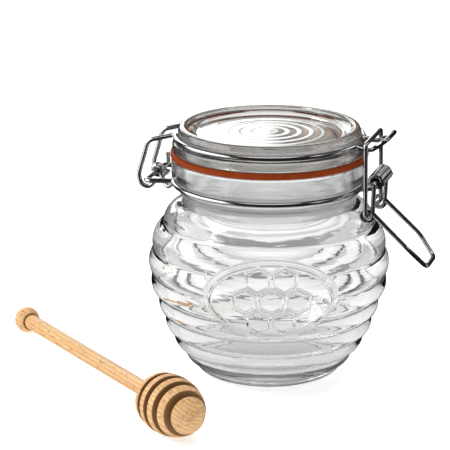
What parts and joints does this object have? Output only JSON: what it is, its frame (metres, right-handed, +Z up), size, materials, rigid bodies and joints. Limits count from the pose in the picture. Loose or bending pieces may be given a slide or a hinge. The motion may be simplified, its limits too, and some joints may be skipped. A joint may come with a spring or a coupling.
{
  "type": "clip-top honey pot with dipper",
  "caption": "Shut clip-top glass honey pot with a ribbed beehive body, oval panel, rubber seal and wire latch, with a turned wooden honey dipper lying beside it.",
  "frame": {"origin": "middle of the jar's flat base, on the surface it stands on", "axes": "+Z up along the jar's axis, +X towards the latch, -X towards the hinge, the latch axes along Y"},
  "size_m": [0.1937, 0.1535, 0.1081],
  "materials": {
    "jar_glass": "clear pressed glass",
    "lid_glass": "clear pressed glass",
    "seal_rubber": "matt orange rubber",
    "wire": "bright drawn wire",
    "beech": "plain turned beech"
  },
  "bodies": {
    "pot": {"jar": "jar_glass", "seal": "seal_rubber", "lid": "lid_glass", "neck_wire": "wire", "lid_wire": "wire", "dipper": "beech"},
    "lever": {"lever": "wire"},
    "bail": {"bail": "wire"}
  },
  "joints": [
    {"name": "lever_swing", "type": "hinge", "parent": "pot", "child": "lever", "pos_m": [0.0479, 0, 0.0892], "axis": [0, -1, 0], "range_deg": [0, 125]},
    {"name": "bail_swing", "type": "hinge", "parent": "lever", "child": "bail", "pos_m": [0.04495, 0, 0.07531], "axis": [0, -1, 0], "range_deg": [-73, 0]}
  ],
  "couplings": [
    {"joint": "bail_swing", "follows": "lever_swing", "ratio": -0.58}
  ]
}
